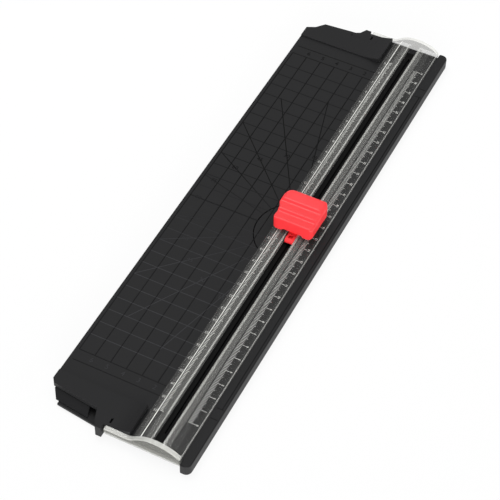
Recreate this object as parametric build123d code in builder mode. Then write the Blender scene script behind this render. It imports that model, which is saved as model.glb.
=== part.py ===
"""Portable A4 paper trimmer with a hinged clear guide, a sliding cutter and a swing-out side ruler.

Millimetres, +Z up. The origin is on the table under the middle of the board.
X runs across the board from the paper side to the offcut side, Y runs along the cut.
"""
import math
import os

from build123d import *

# Board
bed_length = 310.0
near_fence_length = 20.6
far_fence_length = 22.3
base_width = 94.4
base_height = 7.2
foot_height = 1.0
plate_thickness = 2.2
wall = 2.0
rib = 1.6
end_pocket = 4.2
lane_width = 6.0
lane_corner_radius = 3.5
lane_inner_radius = 1.0
lane_edge_radius = 0.8
cut_line_inset = 22.0

# Fences at the two ends of the paper bed
fence_step = 0.8
fence_rise = 3.4
fence_ramp_run = 12.8
fence_to_rail = 2.2

# Left end of the board, cut back to uncover the side ruler
near_cutback = 11.8
end_slant = 7.0
corner_run = 2.0
corner_fall = 2.8
bay_edge_offset = 5.0
far_corner_in = 18.0
far_shoulder_in = 9.8
far_shoulder_rise = 2.0
far_shoulder_run = 10.0
far_shoulder_slope = 5.5
ledge_thickness = 1.5
ledge_reach = 6.8
ledge_depth = 15.0
ledge_tip_inset = 8.2
scoop_inset = 2.0
scoop_width = 6.5
scoop_length = 2.0
scoop_depth = 1.2

# Hinge of the clear guide
hinge_reach = 28.4
hinge_height = 6.6
knuckle_reach = 2.8
knuckle_radius = 1.2
peg_radius = 1.1
peg_length = 6.0
peg_fit = 0.05
tab_gap = 1.2
tab_width = 3.5
tab_near_setback = 0.5
tab_far_setback = 2.0
tab_flare = 2.4
tab_flare_length = 4.4
recess_length = 3.4
recess_width = 3.6
recess_depth = 2.6
recess_setback = 3.7

# Clear guide
paper_gap = 0.4
slot_width = 5.8
left_rail_width = 11.1
right_rail_width = 12.6
rail_thickness = 2.6
rail_ridge = 0.5
flange_width = 4.2
flange_thickness = 1.1
undercut_width = 1.9
undercut_height = 1.3
panel_width = 8.2
panel_rise = 0.3
panel_edge = 1.1
panel_corner_radius = 3.0
panel_end_gap = 0.6
bridge_gap = 0.4
bridge_thickness = 2.7
bridge_bottom = 4.6
bridge_arm_top = 9.0
bridge_rise = [(-17.2, 9.0), (-12.2, 11.1), (-6.7, 14.3), (0.8, 15.5), (9.0, 14.1)]
bridge_right_top = 9.6
bridge_edge = 0.4
bridge_joint = 0.8
lane_gap = 0.5

# Cutting strip
strip_width = 6.8
strip_thickness = 2.0
strip_setback = 4.45
strip_fit = 0.1
strip_sink = 0.1
strip_floor = 1.4
groove_width = 1.3
groove_depth = 1.2
groove_setback = 5.5

# Side ruler
ruler_thickness = 3.0
ruler_inset = 2.9
ruler_bay_gap = 5.5
ruler_top_gap = 0.2
ruler_end_setback = 6.6
ruler_bevel_length = 5.0
ruler_bevel_drop = 2.7
ruler_corner_run = 3.5
ruler_corner_fall = 5.0
ruler_flare = 1.8
ruler_flare_length = 6.5
ruler_pocket_wall = 2.0
ruler_pocket_depth = 1.2
pivot_setback = 35.5
pivot_boss_radius = 3.0
pivot_fit = 0.08
bay_end_gap = 1.0
washer_radius = 5.0
washer_thickness = 0.6
washer_gap = 0.3
pivot_screw_radius = 1.2
pivot_head_radius = 2.6
pivot_head_height = 1.0
pivot_head_edge = 0.4
screw_fit = 0.05
screw_skin = 0.8

# Cutter head
head_y = 3.05
slider_gap = 0.3
tongue_length = 35.4
tongue_nose = 1.2
deck_width = 19.0
deck_length = 22.0
deck_thickness = 1.4
shoulder_thickness = 0.8
nose_recess = 2.8
nose_recess_depth = 1.8
nose_recess_setback = 3.4
keeper_thickness = 0.85
keeper_board_gap = 0.4
keeper_slot_length = 12.5
keeper_slot_width = 1.5
keeper_screw_radius = 0.8
keeper_head_radius = 1.5
keeper_screw_pitch = 22.9
keeper_screw_length = 2.2
press_travel = 1.6
cap_left = 13.3
cap_left_flare = 2.7
cap_right = 12.4
cap_right_flare = 0.3
cap_length = 27.6
cap_hollow_width = 21.2
cap_front_corner = 3.5
cap_back_corner = 5.5
cap_back_lean = 0.6
cap_side_lean = 0.8
cap_shoulder_radius = 2.0
cap_waist_radius = 3.0
cap_back_radius = 3.0
cap_rail_gap = 1.9
cap_top = 22.2
notch_bottom = 13.6
notch_top = 11.0
notch_height = 1.6
cap_wall = 1.8
cap_inner_taper = 9.0
cap_roof = 1.5
ridge_radius = 0.9
valley_radius = 1.6
crest_count = 3
crest_pitch = 8.05
front_crest_setback = 1.4
crest_step = 0.25
crest_drop = 1.6
crest_run = 1.5
holder_thickness = 3.0
holder_length = 17.0
holder_fit = 0.2
holder_flange_width = 9.0
holder_flange_thickness = 1.2
holder_flange_gap = 2.5
holder_boss_height = 1.2
holder_foot_height = 0.8
holder_foot_reach = 1.0
holder_screw_radius = 0.7
holder_screw_head_radius = 1.1
holder_screw_head_height = 0.7
holder_screw_length = 3.0
holder_screw_offset = 3.0
holder_screw_setback = 1.8
blade_thickness = 0.5
blade_length = 12.0
blade_height = 6.8
blade_point_height = 2.8
blade_point_flat = 1.4
blade_lift = 0.7
blade_pin_radius = 0.9
blade_pin_fit = 0.05
blade_pin_pitch = 6.0
blade_pin_drop = 1.8
spring_radius = 1.5
spring_wire = 0.5
spring_wire_sides = 6
spring_turns = 4
spring_turn_sides = 12
spring_offset = 7.5
spring_end_gap = 0.1

# Feet
foot_radius = 5.0
foot_edge = 0.4
foot_end_inset = 14.5
foot_side_inset = 9.0
foot_left_inset = 15.5
foot_mid_inset = 6.7
foot_pad = 16.0

# Heights and places worked out from the sizes above
base_length = bed_length + near_fence_length + far_fence_length + 2 * end_pocket
half_length = base_length / 2
half_width = base_width / 2
board_bottom = foot_height
board_top = board_bottom + base_height
plate_bottom = board_top - plate_thickness
end_face = half_length - end_pocket
bed_near = near_fence_length - end_face
bed_far = end_face - far_fence_length
lane_inner = half_width - lane_width
cut_x = half_width - cut_line_inset
slant = math.tan(math.radians(end_slant))

slot_left = cut_x - slot_width / 2
slot_right = cut_x + slot_width / 2
left_rail_edge = slot_left - left_rail_width
right_rail_edge = slot_right + right_rail_width
rail_bottom = board_top + paper_gap
rail_top = rail_bottom + rail_thickness
undercut_top = rail_bottom + undercut_height
ridge_top = rail_top + rail_ridge
fence_edge = left_rail_edge - fence_to_rail
ramp_start = fence_edge - fence_ramp_run
hinge_x = cut_x - hinge_reach
knuckle_left = hinge_x - knuckle_reach
tab_right = knuckle_left - tab_gap
tab_left = tab_right - tab_width
tab_near_end = half_length - tab_near_setback
tab_far_end = half_length - tab_far_setback
bridge_inner = end_face + bridge_gap
bridge_right = lane_inner - lane_gap
bridge_crown = [(cut_x + x, z) for x, z in bridge_rise]

bay_edge = tab_left - bay_edge_offset
near_edge = -half_length + near_cutback
ruler_left = -half_width + ruler_inset
ruler_right = bay_edge - ruler_bay_gap
ruler_width = ruler_right - ruler_left
ruler_x = (ruler_left + ruler_right) / 2
ruler_top = plate_bottom - ruler_top_gap
ruler_bottom = ruler_top - ruler_thickness
ruler_end = -half_length + ruler_end_setback
pivot_y = half_length - pivot_setback
bay_far = pivot_y + ruler_width / 2 + bay_end_gap
boss_bottom = ruler_bottom - washer_gap
washer_bottom = boss_bottom - washer_thickness
strip_length = 2 * (end_face - strip_setback)
groove_length = strip_length - 2 * groove_setback
strip_floor_top = board_top - strip_sink - strip_thickness

os.makedirs("parts", exist_ok=True)


def slanted(x, y_at_bay_edge):
    """Y of a line through the bay edge that leans with the cut-back left end."""
    return y_at_bay_edge + (bay_edge - x) * slant


def corners_at(sketch, points, reach=0.01):
    """Corners of a sketch that lie on these points."""
    return [v for v in sketch.vertices() for point in points if math.dist((v.X, v.Y), point) < reach]


def save(builder, name):
    """Label a finished piece and write it."""
    builder.part.label = name
    export_step(builder.part, f"parts/{name}.step")


# Base board
corner_x = -half_width + corner_run
near_left = [
    (-half_width, slanted(corner_x, near_edge) + corner_fall),
    (corner_x, slanted(corner_x, near_edge)),
    (bay_edge, near_edge),
    (tab_left - tab_flare, -tab_near_end + tab_flare_length),
    (tab_left, -tab_near_end),
    (tab_right, -tab_near_end),
    (tab_right, -end_face),
]
far_left = [
    (tab_right, end_face),
    (tab_right, tab_far_end),
    (tab_left, tab_far_end),
    (tab_left - tab_flare, tab_far_end - tab_flare_length),
    (bay_edge, half_length - far_shoulder_in + far_shoulder_rise),
    (-half_width + far_shoulder_run, half_length - far_shoulder_in),
    (-half_width + far_shoulder_slope, half_length - far_corner_in + corner_fall),
    (-half_width, half_length - far_corner_in),
]
right_side = [
    (lane_inner, -end_face),
    (lane_inner, -half_length),
    (half_width, -half_length),
    (half_width, half_length),
    (lane_inner, half_length),
    (lane_inner, end_face),
]
ledge_end = near_edge - ledge_reach
ledge_tip = -half_width + ledge_tip_inset
ledge_points = [
    (ledge_tip, slanted(ledge_tip, ledge_end)),
    (tab_left - tab_flare, slanted(tab_left - tab_flare, ledge_end)),
    (tab_left - tab_flare, ledge_end + ledge_depth),
    (ledge_tip, ledge_end + ledge_depth),
]
near_fence = [(-half_width, bed_near), *near_left, (fence_edge, -end_face), (fence_edge, bed_near)]
far_fence = [(fence_edge, bed_far), (fence_edge, end_face), *far_left, (-half_width, bed_far)]
ramp_foot = (ramp_start, board_top + fence_step)
ramp_head = (fence_edge, board_top + fence_rise)

channel_half = strip_width / 2 + strip_fit
pocket_columns = [
    (bay_edge + wall, fence_edge - rib - wall, plate_bottom),
    (fence_edge - wall, cut_x - channel_half - rib, plate_bottom),
    (cut_x - channel_half, cut_x + channel_half, strip_floor_top - strip_floor),
    (cut_x + channel_half + rib, half_width - wall, plate_bottom),
]
pockets_per_half = 4
pocket_zone = end_face - foot_pad - foot_radius - rib
pocket_pitch = (pocket_zone - foot_pad / 2) / pockets_per_half
pocket_rows = [
    side * (foot_pad / 2 + (row + 0.5) * pocket_pitch)
    for side in (-1, 1)
    for row in range(pockets_per_half)
]

with BuildPart() as base_board:
    with BuildSketch(Plane.XY.offset(board_bottom)) as outline:
        with BuildLine():
            Polyline(*near_left, *right_side, *far_left, close=True)
        make_face()
        fillet(outline.vertices().group_by(Axis.X)[-1], radius=lane_corner_radius)
        end_corners = [v for v in outline.vertices() if abs(v.Y) > bridge_inner]
        inner_corners = [v for v in end_corners if abs(v.X - lane_inner) < lane_gap]
        fillet(inner_corners, radius=lane_inner_radius)
    extrude(amount=base_height)
    # Long edge of the right lane, rounded over
    lane_edge = edges().filter_by(Axis.Y).group_by(Axis.X)[-1].sort_by(Axis.Z)[-1]
    fillet(lane_edge, radius=lane_edge_radius)
    # Bay for the side ruler, open to the left and to the near end
    with BuildSketch(Plane.XY.offset(board_bottom)):
        with BuildLine():
            Polyline(
                (-base_width, -base_length),
                (bay_edge, -base_length),
                (bay_edge, bay_far),
                (-base_width, bay_far),
                close=True,
            )
        make_face()
    extrude(amount=plate_bottom - board_bottom, mode=Mode.SUBTRACT)
    # Ledge that holds the free end of the side ruler
    with BuildSketch(Plane.XY.offset(board_bottom)):
        with BuildLine():
            Polyline(*ledge_points, close=True)
        make_face()
    extrude(amount=ledge_thickness)
    # Hollow underside with ribs
    for x0, x1, pocket_top in pocket_columns:
        with BuildSketch(Plane.XY.offset(board_bottom)):
            with Locations(*[((x0 + x1) / 2, y) for y in pocket_rows]):
                Rectangle(x1 - x0, pocket_pitch - rib)
        extrude(amount=pocket_top - board_bottom, mode=Mode.SUBTRACT)
    # Channel for the cutting strip
    with BuildSketch(Plane.XY.offset(strip_floor_top)):
        with Locations((cut_x, 0)):
            Rectangle(strip_width + 2 * strip_fit, strip_length + 2 * strip_fit)
    extrude(amount=board_top - strip_floor_top, mode=Mode.SUBTRACT)
    # Fences with a ramp that rises to the guide
    with BuildSketch(Plane.XY.offset(board_top)):
        for points in (near_fence, far_fence):
            with BuildLine():
                Polyline(*points, close=True)
            make_face()
    extrude(amount=fence_step)
    for start, stop in ((-end_face, bed_near), (bed_far, end_face)):
        with BuildSketch(Plane.XZ.offset(-start)):
            with BuildLine():
                TangentArc(ramp_foot, ramp_head, tangent=(1, 0))
                Polyline(ramp_head, (fence_edge, board_top), (ramp_start, board_top), ramp_foot)
            make_face()
        extrude(amount=start - stop)
    # Peg holes of the hinge, with a moulding recess over each
    for side in (-1, 1):
        with BuildSketch(Plane.XZ.offset(-side * end_face)):
            with Locations((hinge_x, hinge_height)):
                Circle(peg_radius + peg_fit)
        extrude(amount=side * peg_length, mode=Mode.SUBTRACT)
        with BuildSketch(Plane.XY.offset(board_top + fence_step)):
            with Locations((hinge_x, side * (end_face - recess_setback))):
                Rectangle(recess_width, recess_length)
        extrude(amount=-recess_depth, mode=Mode.SUBTRACT)
    # Finger scoop in the far edge
    with BuildSketch(Plane.YZ.offset(bay_edge - scoop_inset)):
        with BuildLine():
            Polyline(
                (half_length - far_shoulder_in - scoop_length, board_top + fence_step),
                (half_length - far_shoulder_in - scoop_length, board_top + fence_step - scoop_depth),
                (half_length - far_shoulder_in + far_shoulder_rise, board_top + fence_step),
                close=True,
            )
        make_face()
    extrude(amount=scoop_width, mode=Mode.SUBTRACT)
    # Boss that the side ruler turns on
    with BuildSketch(Plane.XY.offset(plate_bottom)):
        with Locations((ruler_x, pivot_y)):
            Circle(pivot_boss_radius)
    extrude(amount=boss_bottom - plate_bottom)
    with BuildSketch(Plane.XY.offset(boss_bottom)):
        with Locations((ruler_x, pivot_y)):
            Circle(pivot_screw_radius + screw_fit)
    extrude(amount=board_top - screw_skin - boss_bottom, mode=Mode.SUBTRACT)
save(base_board, "base_board")

# Cutting strip
with BuildPart() as cutting_strip:
    with BuildSketch(Plane.XY.offset(strip_floor_top)):
        with Locations((cut_x, 0)):
            Rectangle(strip_width, strip_length)
    extrude(amount=strip_thickness)
    with BuildSketch(Plane.XY.offset(strip_floor_top + strip_thickness)):
        with Locations((cut_x, 0)):
            SlotOverall(groove_length, groove_width, rotation=90)
    extrude(amount=-groove_depth, mode=Mode.SUBTRACT)
save(cutting_strip, "cutting_strip")

# Rubber feet
foot_x = half_width - foot_side_inset
foot_left = -half_width + foot_left_inset
foot_y = half_length - foot_end_inset
foot_places = [
    (foot_x, -foot_y),
    (foot_x, 0),
    (foot_x, foot_y),
    (foot_left, -foot_y),
    (bay_edge + foot_mid_inset, 0),
    (foot_left, foot_y),
]
with BuildPart() as rubber_feet:
    with BuildSketch(Plane.XY):
        with Locations(*foot_places):
            Circle(foot_radius)
    extrude(amount=foot_height)
    chamfer(edges().group_by(Axis.Z)[0], length=foot_edge)
save(rubber_feet, "rubber_feet")

# Side ruler, stowed under the left of the board, with its outer corner cut off
ruler_corner = ruler_left + ruler_corner_run
ruler_corner_end = slanted(ruler_corner, ruler_end)
ruler_flared = ruler_right + ruler_flare
with BuildPart() as side_ruler:
    with BuildSketch(Plane.XY.offset(ruler_bottom)):
        with BuildLine():
            Polyline(
                (ruler_left, pivot_y),
                (ruler_left, ruler_corner_end + ruler_corner_fall),
                (ruler_corner, ruler_corner_end),
                (ruler_flared, slanted(ruler_flared, ruler_end)),
                (ruler_right, slanted(ruler_flared, ruler_end) + ruler_flare_length),
                (ruler_right, pivot_y),
            )
            ThreePointArc(
                (ruler_right, pivot_y),
                (ruler_x, pivot_y + ruler_width / 2),
                (ruler_left, pivot_y),
            )
        make_face()
        with Locations((ruler_x, pivot_y)):
            Circle(pivot_boss_radius + pivot_fit, mode=Mode.SUBTRACT)
    extrude(amount=ruler_thickness)
    # Bevelled finger end
    top_face = faces().sort_by(Axis.Z)[-1]
    end_edge = top_face.edges().sort_by(Axis.Y)[0]
    chamfer(end_edge, length=ruler_bevel_length, length2=ruler_bevel_drop, reference=top_face)
    # Hollow back
    with BuildSketch(Plane.XY.offset(ruler_bottom)):
        with BuildLine():
            Polyline(
                (ruler_left + ruler_pocket_wall, pivot_y - ruler_width / 2),
                (ruler_left + ruler_pocket_wall, ruler_end + ruler_width / 2),
                (ruler_right - ruler_pocket_wall, ruler_end + ruler_width / 2),
                (ruler_right - ruler_pocket_wall, pivot_y - ruler_width / 2),
                close=True,
            )
        make_face()
    extrude(amount=ruler_pocket_depth, mode=Mode.SUBTRACT)
save(side_ruler, "side_ruler")

with BuildPart() as side_ruler_washer:
    with BuildSketch(Plane.XY.offset(washer_bottom)):
        with Locations((ruler_x, pivot_y)):
            Circle(washer_radius)
            Circle(pivot_screw_radius + screw_fit, mode=Mode.SUBTRACT)
    extrude(amount=washer_thickness)
save(side_ruler_washer, "side_ruler_washer")

with BuildPart() as side_ruler_screw:
    with BuildSketch(Plane.XY.offset(washer_bottom - pivot_head_height)):
        with Locations((ruler_x, pivot_y)):
            Circle(pivot_head_radius)
    extrude(amount=pivot_head_height)
    chamfer(edges().group_by(Axis.Z)[0], length=pivot_head_edge)
    with BuildSketch(Plane.XY.offset(washer_bottom)):
        with Locations((ruler_x, pivot_y)):
            Circle(pivot_screw_radius)
    extrude(amount=board_top - screw_skin - screw_fit - washer_bottom)
save(side_ruler_screw, "side_ruler_screw")

# Clear guide: two rails joined by an arched bridge at each end
ridge_left = left_rail_edge + flange_width
bead = rail_ridge
left_rail = [
    (left_rail_edge, rail_bottom),
    (left_rail_edge, rail_bottom + flange_thickness - bead / 2),
    (ridge_left - bead, rail_bottom + flange_thickness),
    (ridge_left, ridge_top),
    (ridge_left + bead, ridge_top),
    (ridge_left + 2 * bead, rail_top),
    (slot_left - undercut_width - bead, rail_top),
    (slot_left - undercut_width, rail_top - bead / 2),
    (slot_left - undercut_width + bead, rail_top + bead / 2),
    (slot_left, rail_top + bead / 2),
    (slot_left, undercut_top),
    (slot_left - undercut_width, undercut_top),
    (slot_left - undercut_width, rail_bottom),
]
right_rail = [
    (slot_right, undercut_top),
    (slot_right, ridge_top),
    (slot_right + undercut_width + bead, ridge_top),
    (slot_right + undercut_width + 2 * bead, rail_top),
    (right_rail_edge - 2 * bead, rail_top),
    (right_rail_edge, rail_top - 2 * bead),
    (right_rail_edge, rail_bottom),
    (slot_right + undercut_width, rail_bottom),
    (slot_right + undercut_width, undercut_top),
]
with BuildPart() as clear_guide:
    with BuildSketch(Plane.XZ) as rail_section:
        for points in (left_rail, right_rail):
            with BuildLine():
                Polyline(*points, close=True)
            make_face()
    extrude(amount=bridge_inner + bridge_joint, both=True)
    # Raised panel on the right rail, where its scale is printed
    with BuildSketch(Plane.XY.offset(rail_top)):
        with Locations((right_rail_edge - panel_edge - panel_width / 2, 0)):
            RectangleRounded(panel_width, 2 * (bridge_inner - panel_end_gap), panel_corner_radius)
    extrude(amount=panel_rise)
    # Near bridge, arched over the rails, with a rounded knuckle on the hinge line
    with BuildSketch(Plane.XZ.offset(bridge_inner)) as bridge_section:
        with BuildLine():
            Spline(*bridge_crown, (bridge_right, bridge_right_top), tangents=((1, 0), (1, -1.5)))
            Polyline(
                (bridge_right, bridge_right_top),
                (bridge_right, bridge_bottom),
                (knuckle_left, bridge_bottom),
                (knuckle_left, bridge_arm_top),
                bridge_crown[0],
            )
        make_face()
        fillet(bridge_section.vertices().group_by(Axis.X)[0], radius=knuckle_radius)
    extrude(amount=bridge_thickness)
    outer_rim = faces().sort_by(Axis.Y)[0].outer_wire().edges()
    chamfer(outer_rim, length=bridge_edge)
    # Peg of the hinge
    with BuildSketch(Plane.XZ.offset(bridge_inner)):
        with Locations((hinge_x, hinge_height)):
            Circle(peg_radius)
    extrude(amount=bridge_gap - peg_length)
    mirror(about=Plane.XZ)
save(clear_guide, "clear_guide")

# Cutter slider: a tongue between the rails under a deck that rides on them
deck_bottom = ridge_top + slider_gap
deck_top = deck_bottom + deck_thickness
tongue_width = slot_width - 2 * slider_gap
keeper_bottom = board_top + keeper_board_gap
keeper_top = keeper_bottom + keeper_thickness
well_width = holder_thickness + 2 * holder_fit
well_length = holder_length + 2 * holder_fit
foot_well_length = holder_length + 2 * holder_foot_reach + 2 * holder_fit
shoulder = deck_top - shoulder_thickness
keeper_screw_places = [(cut_x, head_y + side * keeper_screw_pitch / 2) for side in (-1, 1)]
spring_places = [(cut_x - spring_offset, head_y), (cut_x + spring_offset, head_y)]
with BuildPart() as slider_body:
    with BuildSketch(Plane.XY.offset(keeper_top)):
        with Locations((cut_x, head_y)):
            Rectangle(tongue_width, tongue_length)
    extrude(amount=deck_bottom - keeper_top)
    # Sloping nose at each end of the tongue
    chamfer(edges().group_by(Axis.Z)[-1].filter_by(Axis.X), length=tongue_nose)
    with BuildSketch(Plane.XY.offset(deck_bottom)):
        with Locations((cut_x, head_y)):
            RectangleRounded(deck_width, deck_length, cap_wall)
    extrude(amount=deck_thickness)
    # Post in each return spring
    with BuildSketch(Plane.XY.offset(deck_top)):
        with Locations(*spring_places):
            Circle(spring_radius - spring_wire)
    extrude(amount=press_travel)
    # Well of the blade holder, wider at the foot
    with BuildSketch(Plane.XY.offset(keeper_top)):
        with Locations((cut_x, head_y)):
            Rectangle(well_width, well_length)
    extrude(amount=deck_top - keeper_top, mode=Mode.SUBTRACT)
    with BuildSketch(Plane.XY.offset(keeper_top)):
        with Locations((cut_x, head_y)):
            Rectangle(well_width, foot_well_length)
    extrude(amount=shoulder - keeper_top, mode=Mode.SUBTRACT)
    with BuildSketch(Plane.XY.offset(keeper_top)):
        with Locations(*keeper_screw_places):
            Circle(keeper_screw_radius + screw_fit)
    extrude(amount=keeper_screw_length - keeper_thickness + screw_fit, mode=Mode.SUBTRACT)
    # Square moulding recess in each nose
    for side in (-1, 1):
        with BuildSketch(Plane.XY.offset(deck_bottom)):
            with Locations((cut_x, head_y + side * (tongue_length / 2 - nose_recess_setback))):
                Rectangle(nose_recess, nose_recess)
        extrude(amount=-nose_recess_depth, mode=Mode.SUBTRACT)
save(slider_body, "slider_body")

# Keeper plate that runs under the inner edges of the rails
keeper_width = slot_width + 2 * undercut_width - 2 * slider_gap
with BuildPart() as slider_keeper:
    with BuildSketch(Plane.XY.offset(keeper_bottom)):
        with Locations((cut_x, head_y)):
            RectangleRounded(keeper_width, tongue_length, cap_wall)
            SlotOverall(keeper_slot_length, keeper_slot_width, rotation=90, mode=Mode.SUBTRACT)
    extrude(amount=keeper_thickness)
    for place in keeper_screw_places:
        with BuildSketch(Plane.XY.offset(keeper_bottom)):
            with Locations(place):
                Circle(keeper_head_radius + screw_fit)
        with BuildSketch(Plane.XY.offset(keeper_top)):
            with Locations(place):
                Circle(keeper_screw_radius + screw_fit)
        loft(mode=Mode.SUBTRACT)
save(slider_keeper, "slider_keeper")

with BuildPart() as keeper_screws:
    for place in keeper_screw_places:
        with BuildSketch(Plane.XY.offset(keeper_bottom)):
            with Locations(place):
                Circle(keeper_head_radius)
        with BuildSketch(Plane.XY.offset(keeper_top)):
            with Locations(place):
                Circle(keeper_screw_radius)
        loft()
    with BuildSketch(Plane.XY.offset(keeper_top)):
        with Locations(*keeper_screw_places):
            Circle(keeper_screw_radius)
    extrude(amount=keeper_screw_length - keeper_thickness)
save(keeper_screws, "keeper_screws")

# Press cap: red shell whose plan, side and front views are cut from one block
cap_bottom = ridge_top + cap_rail_gap
cap_front = head_y - cap_length / 2
cap_back = head_y + cap_length / 2
first_crest = cap_front + front_crest_setback + (crest_count - 1) * crest_pitch
crests = [(first_crest - n * crest_pitch, cap_top - n * crest_step) for n in range(crest_count)]
valleys = [(y - crest_run, z - crest_drop) for y, z in crests[:-1]]
ridge_line = [crests[0]]
for valley, crest in zip(valleys, crests[1:]):
    ridge_line += [valley, crest]
cap_roof_bottom = valleys[-1][1] - cap_roof
boss_face = cap_roof_bottom - holder_boss_height
flange_length = cap_length - 2 * cap_wall - 2 * holder_flange_gap
holder_screw_places = [
    (cut_x + side * holder_screw_offset, head_y + side * (holder_length / 2 - holder_screw_setback))
    for side in (-1, 1)
]
cap_left_edge = cut_x - cap_left - cap_left_flare
cap_right_edge = cut_x + cap_right + cap_right_flare

with BuildPart() as press_cap:
    # Plan, drawn in on the left from the first ridge to the second
    with BuildSketch(Plane.XY.offset(cap_bottom)) as cap_plan:
        with BuildLine():
            Polyline(
                (cut_x - cap_left, cap_front),
                (cut_x + cap_right, cap_front),
                (cap_right_edge, cap_back),
                (cap_left_edge, cap_back),
                (cap_left_edge, crests[0][0] - crest_run),
                (cut_x - cap_left, crests[1][0] + crest_run),
                close=True,
            )
        make_face()
        waist = [v for v in cap_plan.vertices() if cap_front < v.Y < cap_back]
        fillet(waist, radius=cap_waist_radius)
        fillet(cap_plan.vertices().group_by(Axis.Y)[-1], radius=cap_back_corner)
        fillet(cap_plan.vertices().group_by(Axis.Y)[0], radius=cap_front_corner)
    extrude(amount=cap_top - cap_bottom)
    # Side view with three finger ridges
    with BuildSketch(Plane.YZ.offset(cut_x - cap_length)) as cap_side:
        with BuildLine():
            Polyline(
                (cap_back, cap_bottom),
                (cap_back - cap_back_lean, cap_top),
                *ridge_line,
                (cap_front, cap_bottom),
                close=True,
            )
        make_face()
        fillet(cap_side.vertices().group_by(Axis.Y)[-1].sort_by(Axis.X)[-1], radius=cap_back_radius)
        fillet(corners_at(cap_side, crests), radius=ridge_radius)
        fillet(corners_at(cap_side, valleys), radius=valley_radius)
    extrude(amount=2 * cap_length, mode=Mode.INTERSECT)
    # Front view with round shoulders
    with BuildSketch(Plane.XZ.offset(-cap_back)) as cap_face:
        with BuildLine():
            Polyline(
                (cap_left_edge, cap_bottom),
                (cap_right_edge, cap_bottom),
                (cap_right_edge - cap_side_lean, cap_top),
                (cap_left_edge + cap_side_lean, cap_top),
                close=True,
            )
        make_face()
        fillet(cap_face.vertices().group_by(Axis.Y)[-1], radius=cap_shoulder_radius)
    extrude(amount=cap_length, mode=Mode.INTERSECT)
    # Hollow underneath, leaving a boss for the blade holder
    with BuildSketch(Plane.XY.offset(cap_bottom)):
        with Locations((cut_x, head_y)):
            RectangleRounded(cap_hollow_width, cap_length - 2 * cap_wall, cap_back_corner - cap_wall)
    extrude(amount=cap_roof_bottom - cap_bottom, taper=cap_inner_taper, mode=Mode.SUBTRACT)
    # Notch over the rails in the front and back walls
    with BuildSketch(Plane.XZ.offset(-cap_back)):
        with BuildLine():
            Polyline(
                (cut_x - notch_bottom / 2, cap_bottom),
                (cut_x + notch_bottom / 2, cap_bottom),
                (cut_x + notch_top / 2, cap_bottom + notch_height),
                (cut_x - notch_top / 2, cap_bottom + notch_height),
                close=True,
            )
        make_face()
    extrude(amount=cap_length, mode=Mode.SUBTRACT)
    with BuildSketch(Plane.XY.offset(boss_face)):
        with Locations((cut_x, head_y)):
            Rectangle(holder_flange_width, flange_length)
    extrude(amount=holder_boss_height)
    with BuildSketch(Plane.XY.offset(boss_face)):
        with Locations(*holder_screw_places):
            Circle(holder_screw_radius + screw_fit)
    extrude(amount=holder_screw_length - holder_flange_thickness + screw_fit, mode=Mode.SUBTRACT)
save(press_cap, "press_cap")

# Blade holder, its cover and the blade between them
flange_bottom = boss_face - holder_flange_thickness
holder_bottom = shoulder - holder_fit - holder_foot_height
blade_bottom = board_top + blade_lift
blade_top = blade_bottom + blade_height
blade_face = cut_x + blade_thickness / 2
pin_height = blade_top - blade_pin_drop
pin_places = [(head_y + side * blade_pin_pitch / 2, pin_height) for side in (-1, 1)]
side_thickness = (holder_thickness - blade_thickness) / 2
with BuildPart() as blade_holder:
    with BuildSketch(Plane.YZ.offset(blade_face)):
        with Locations((head_y, (holder_bottom + boss_face) / 2)):
            Rectangle(holder_length, boss_face - holder_bottom)
        with Locations((head_y, holder_bottom + holder_foot_height / 2)):
            Rectangle(holder_length + 2 * holder_foot_reach, holder_foot_height)
    extrude(amount=side_thickness)
    with BuildSketch(Plane.XY.offset(flange_bottom)):
        with Locations((cut_x, head_y)):
            Rectangle(holder_flange_width, flange_length)
    extrude(amount=holder_flange_thickness)
    with BuildSketch(Plane.XY.offset(flange_bottom)):
        with Locations(*holder_screw_places):
            Circle(holder_screw_radius + screw_fit)
    extrude(amount=holder_flange_thickness, mode=Mode.SUBTRACT)
    # Pins that carry the blade
    with BuildSketch(Plane.YZ.offset(blade_face)):
        with Locations(*pin_places):
            Circle(blade_pin_radius)
    extrude(amount=-blade_thickness - side_thickness)
save(blade_holder, "blade_holder")

with BuildPart() as blade_cover:
    with BuildSketch(Plane.YZ.offset(blade_face - blade_thickness)):
        with Locations((head_y, (holder_bottom + flange_bottom) / 2)):
            Rectangle(holder_length, flange_bottom - holder_bottom)
        with Locations(*pin_places):
            Circle(blade_pin_radius + blade_pin_fit, mode=Mode.SUBTRACT)
    extrude(amount=-side_thickness)
save(blade_cover, "blade_cover")

with BuildPart() as blade:
    with BuildSketch(Plane.YZ.offset(blade_face)):
        with BuildLine():
            Polyline(
                (head_y - blade_length / 2, blade_top),
                (head_y - blade_length / 2, blade_bottom + blade_point_height),
                (head_y - blade_point_flat / 2, blade_bottom),
                (head_y + blade_point_flat / 2, blade_bottom),
                (head_y + blade_length / 2, blade_bottom + blade_point_height),
                (head_y + blade_length / 2, blade_top),
                close=True,
            )
        make_face()
        with Locations(*pin_places):
            Circle(blade_pin_radius + blade_pin_fit, mode=Mode.SUBTRACT)
    extrude(amount=-blade_thickness)
save(blade, "blade")

with BuildPart() as holder_screws:
    with BuildSketch(Plane.XY.offset(flange_bottom)):
        with Locations(*holder_screw_places):
            Circle(holder_screw_head_radius)
    extrude(amount=-holder_screw_head_height)
    with BuildSketch(Plane.XY.offset(flange_bottom)):
        with Locations(*holder_screw_places):
            Circle(holder_screw_radius)
    extrude(amount=holder_screw_length)
save(holder_screws, "holder_screws")

# Return springs between the deck and the roof of the cap
spring_low = deck_top + spring_wire / 2 + spring_end_gap
spring_high = cap_roof_bottom - spring_wire / 2 - spring_end_gap
coil_steps = spring_turns * spring_turn_sides


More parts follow.
